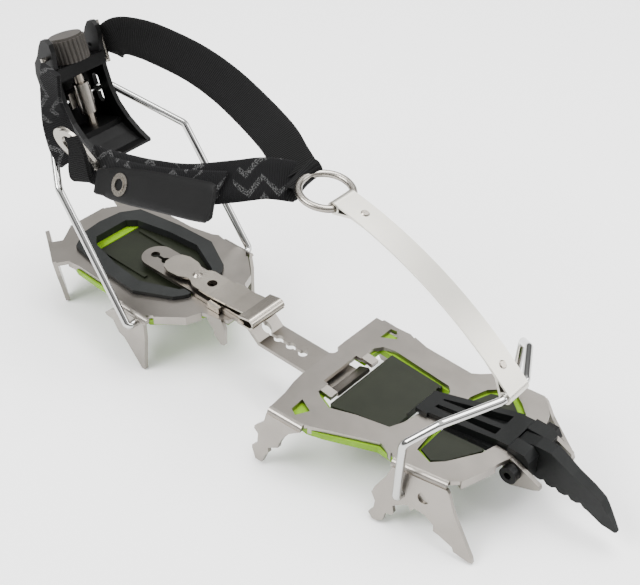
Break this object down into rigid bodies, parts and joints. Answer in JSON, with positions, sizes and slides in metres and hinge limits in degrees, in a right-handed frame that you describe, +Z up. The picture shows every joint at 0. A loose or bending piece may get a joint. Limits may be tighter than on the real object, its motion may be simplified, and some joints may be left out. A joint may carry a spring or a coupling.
{
  "type": "step-in crampon",
  "caption": "Step-in boot crampon with toothed front and heel frames, sliding link bar, wire toe bail with steel strap, and wire heel bail with adjusting lever and ankle webbing.",
  "frame": {"origin": "centre of the footprint's bounding box, on the ground plane under the point tips", "axes": "+X towards the toe, +Y towards the inner side of the foot, +Z up"},
  "size_m": [0.3423, 0.1044, 0.1552],
  "materials": {
    "frame_steel": "satin stainless plate",
    "lime_plastic": "lime green flexible plastic",
    "olive_plastic": "dark olive plastic",
    "forged_steel": "black coated forged steel",
    "black_bolt": "black oxide fastener",
    "bail_wire": "polished stainless wire",
    "strap_steel": "bright satin strip",
    "rivet_steel": "satin steel",
    "ring_steel": "satin steel",
    "bar_steel": "satin stainless bar",
    "rim_plastic": "dark grey plastic",
    "clip_steel": "satin spring steel",
    "lever_plastic": "black moulded plastic",
    "screw_steel": "turned steel",
    "knob_plastic": "grey moulded plastic",
    "webbing": "black woven webbing",
    "webbing_grey": "black and grey patterned webbing",
    "tab_rubber": "smooth black rubber"
  },
  "bodies": {
    "front_frame": {"front_frame": "frame_steel", "front_bumper": "lime_plastic", "front_insert": "olive_plastic", "point_housing": "forged_steel", "point_spacers": "forged_steel", "monopoint": "forged_steel", "point_bolt": "black_bolt", "point_nut": "black_bolt"},
    "toe_bail": {"toe_bail": "bail_wire"},
    "toe_strap": {"toe_strap": "strap_steel", "toe_strap_rivets": "rivet_steel"},
    "strap_ring": {"strap_ring": "ring_steel"},
    "link_bar": {"link_bar": "bar_steel"},
    "heel_frame": {"heel_frame": "frame_steel", "heel_bumper": "lime_plastic", "heel_insert": "olive_plastic", "heel_pad_rim": "rim_plastic", "clip_base": "clip_steel"},
    "spring_clip": {"spring_clip": "clip_steel", "clip_pin": "rivet_steel"},
    "heel_bail": {"heel_bail": "bail_wire", "webbing_plain": "webbing", "webbing_patterned": "webbing_grey", "webbing_tail": "webbing_grey", "webbing_anchor": "webbing", "buckle_ring_upper": "ring_steel", "buckle_ring_lower": "ring_steel"},
    "carriage": {"carriage": "bar_steel"},
    "lever": {"lever_body": "lever_plastic", "web_bar_inner": "ring_steel", "web_bar_outer": "ring_steel"},
    "lever_screw": {"lever_screw": "screw_steel", "lever_knob": "knob_plastic", "lever_cap": "rivet_steel"},
    "pull_tab": {"pull_tab": "tab_rubber", "tab_grommet": "rivet_steel"}
  },
  "joints": [
    {"name": "toe_bail_swing", "type": "hinge", "parent": "front_frame", "child": "toe_bail", "pos_m": [0.09045, 0.00523, 0.02], "axis": [0, 1, 0], "range_deg": [-20, 25]},
    {"name": "toe_strap_swing", "type": "hinge", "parent": "toe_bail", "child": "toe_strap", "pos_m": [0.11645, 0.00523, 0.0705], "axis": [0, 1, 0], "range_deg": [-12, 60]},
    {"name": "ring_swing", "type": "hinge", "parent": "toe_strap", "child": "strap_ring", "pos_m": [0.01865, 0.00523, 0.1234], "axis": [0, 1, 0], "range_deg": [-25, 25]},
    {"name": "bar_tilt", "type": "hinge", "parent": "front_frame", "child": "link_bar", "pos_m": [0.03065, -0.00347, 0.029], "axis": [0, 1, 0], "range_deg": [-6, 0]},
    {"name": "length_adjust", "type": "slide", "parent": "link_bar", "child": "heel_frame", "axis": [1, 0, 0], "range_m": [-0.0332, 0]},
    {"name": "clip_lift", "type": "hinge", "parent": "heel_frame", "child": "spring_clip", "pos_m": [-0.02485, -0.00347, 0.0401], "axis": [0, 1, 0], "range_deg": [0, 8], "stiffness_Nm_per_rad": 0.6},
    {"name": "heel_bail_swing", "type": "hinge", "parent": "heel_frame", "child": "heel_bail", "pos_m": [-0.07935, -0.00347, 0.0285], "axis": [0, 1, 0], "range_deg": [-35, 0]},
    {"name": "lever_pivot", "type": "hinge", "parent": "heel_bail", "child": "carriage", "pos_m": [-0.15625, -0.00347, 0.1144], "axis": [0, 1, 0], "range_deg": [-60, 15]},
    {"name": "micro_adjust", "type": "slide", "parent": "carriage", "child": "lever", "axis": [-0.284, 0, 0.9588], "range_m": [-0.005, 0.005]},
    {"name": "knob_turn", "type": "hinge", "parent": "lever", "child": "lever_screw", "pos_m": [-0.15088, -0.00347, 0.11599], "axis": [-0.284, 0, 0.9588], "range_deg": [-1201, 1201]},
    {"name": "tab_flex", "type": "hinge", "parent": "heel_bail", "child": "pull_tab", "pos_m": [-0.09735, -0.04077, 0.1062], "axis": [0.3604, -0.5105, -0.7807], "range_deg": [0, 30], "stiffness_Nm_per_rad": 0.02}
  ],
  "couplings": [
    {"joint": "knob_turn", "follows": "micro_adjust", "rad_per_m": 4188.8}
  ]
}
